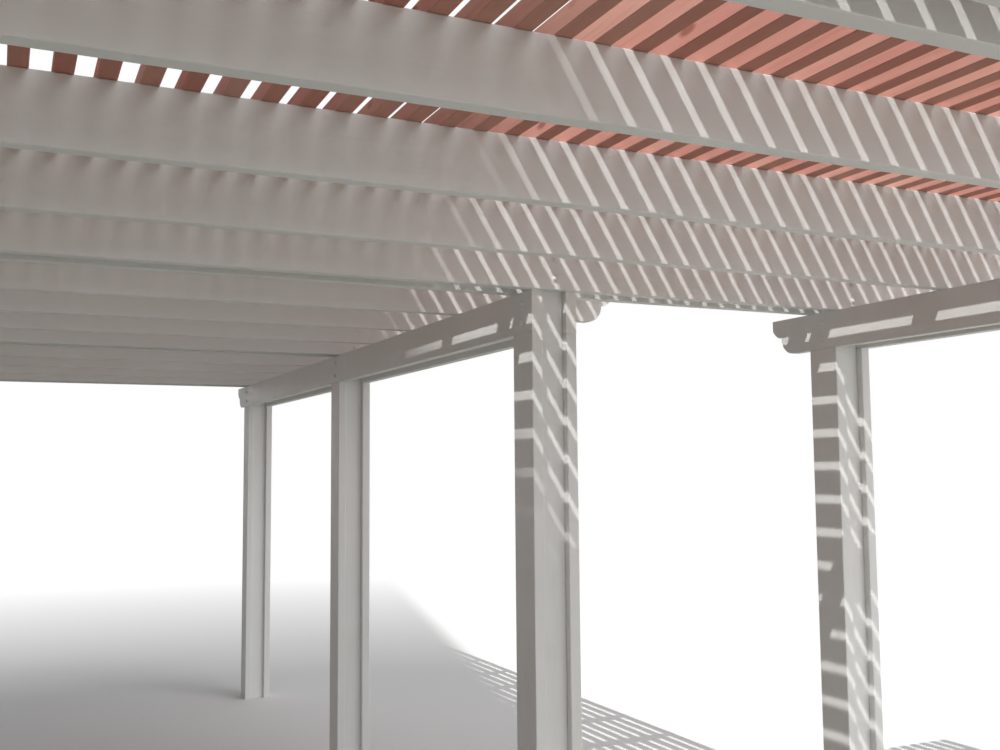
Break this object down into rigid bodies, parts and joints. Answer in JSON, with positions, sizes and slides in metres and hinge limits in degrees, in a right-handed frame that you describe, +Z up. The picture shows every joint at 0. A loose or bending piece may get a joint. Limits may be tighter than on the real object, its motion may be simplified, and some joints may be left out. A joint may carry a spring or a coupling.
{
  "type": "pergola",
  "caption": "Stepped timber pergola: sandwich posts, twin beams and headers, lobed rafter tails and a slatted roof, with a wider end bay.",
  "frame": {"origin": "centre of the bounding box on the ground", "axes": "+Z up, +Y along the beams and slats from the wide end to the narrow end, +X along the rafters towards the wide part's side"},
  "size_m": [4.613, 7.122, 2.312],
  "materials": {
    "painted_timber": "satin cream paint on planed timber",
    "stained_slats": "matt red-brown stain on rough-sawn timber"
  },
  "bodies": {
    "root": {"beam_left_far_inner": "painted_timber", "beam_left_far_outer": "painted_timber", "beam_left_near_inner": "painted_timber", "beam_left_near_outer": "painted_timber", "beam_middle_inner": "painted_timber", "beam_middle_outer": "painted_timber", "beam_right_inner": "painted_timber", "beam_right_outer": "painted_timber", "header_1": "painted_timber", "header_2": "painted_timber", "header_3": "painted_timber", "header_4": "painted_timber", "post_cheeks_left_1": "painted_timber", "post_cheeks_left_2": "painted_timber", "post_cheeks_left_3": "painted_timber", "post_cheeks_left_4": "painted_timber", "post_cheeks_middle_2": "painted_timber", "post_cheeks_middle_3": "painted_timber", "post_cheeks_middle_4": "painted_timber", "post_cheeks_right_1": "painted_timber", "post_cheeks_right_2": "painted_timber", "post_core_left_1": "painted_timber", "post_core_left_2": "painted_timber", "post_core_left_3": "painted_timber", "post_core_left_4": "painted_timber", "post_core_middle_2": "painted_timber", "post_core_middle_3": "painted_timber", "post_core_middle_4": "painted_timber", "post_core_right_1": "painted_timber", "post_core_right_2": "painted_timber", "rafter_1_1": "painted_timber", "rafter_1_2": "painted_timber", "rafter_1_3": "painted_timber", "rafter_2_1": "painted_timber", "rafter_2_2": "painted_timber", "rafter_2_3": "painted_timber", "rafter_3_1": "painted_timber", "rafter_3_2": "painted_timber", "rafter_3_3": "painted_timber", "slats_1": "stained_slats", "slats_2": "stained_slats", "slats_3": "stained_slats", "slats_side": "stained_slats"}
  },
  "joints": []
}
